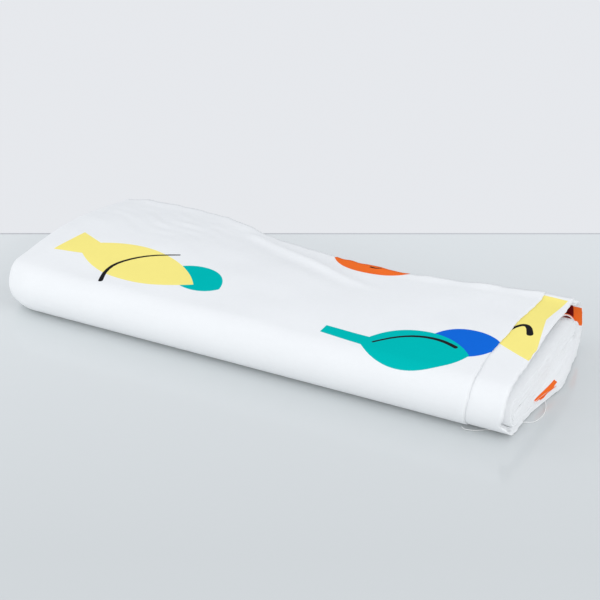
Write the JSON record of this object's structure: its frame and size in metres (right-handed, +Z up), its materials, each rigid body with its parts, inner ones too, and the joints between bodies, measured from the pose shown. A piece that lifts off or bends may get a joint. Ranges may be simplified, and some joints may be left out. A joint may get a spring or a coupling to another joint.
{
  "type": "folded printed cloth bundle",
  "caption": "Length of printed cotton cloth folded to a strip and loosely rolled flat, with a top panel that lifts about its rounded front edge.",
  "frame": {"origin": "centre of the bundle's box on the surface that it rests on", "axes": "+X along the bundle from its closed fold to its raw edges, +Y from the rounded front nose to the rear bend, +Z up"},
  "size_m": [0.3859, 0.1696, 0.0435],
  "materials": {
    "printed_cotton": "matt plain weave with flat coloured print",
    "plain_cotton": "matt plain weave",
    "yarn": "soft spun cotton yarn"
  },
  "bodies": {
    "bundle": {"outer_turn_upper_ply": "printed_cotton", "outer_turn_under_ply": "printed_cotton", "second_turn": "plain_cotton", "third_turn": "plain_cotton", "fourth_turn": "plain_cotton", "fifth_turn": "plain_cotton", "sixth_turn": "plain_cotton", "core_tongue": "plain_cotton", "loose_yarn_loop": "yarn", "edge_yarn": "yarn"},
    "top_flap": {"top_panel_upper_ply": "printed_cotton", "top_panel_under_ply": "printed_cotton"}
  },
  "joints": [
    {"name": "top_flap_lift", "type": "hinge", "parent": "bundle", "child": "top_flap", "pos_m": [0, -0.06935, 0.0175], "axis": [1, 0, 0], "range_deg": [0, 150]}
  ]
}
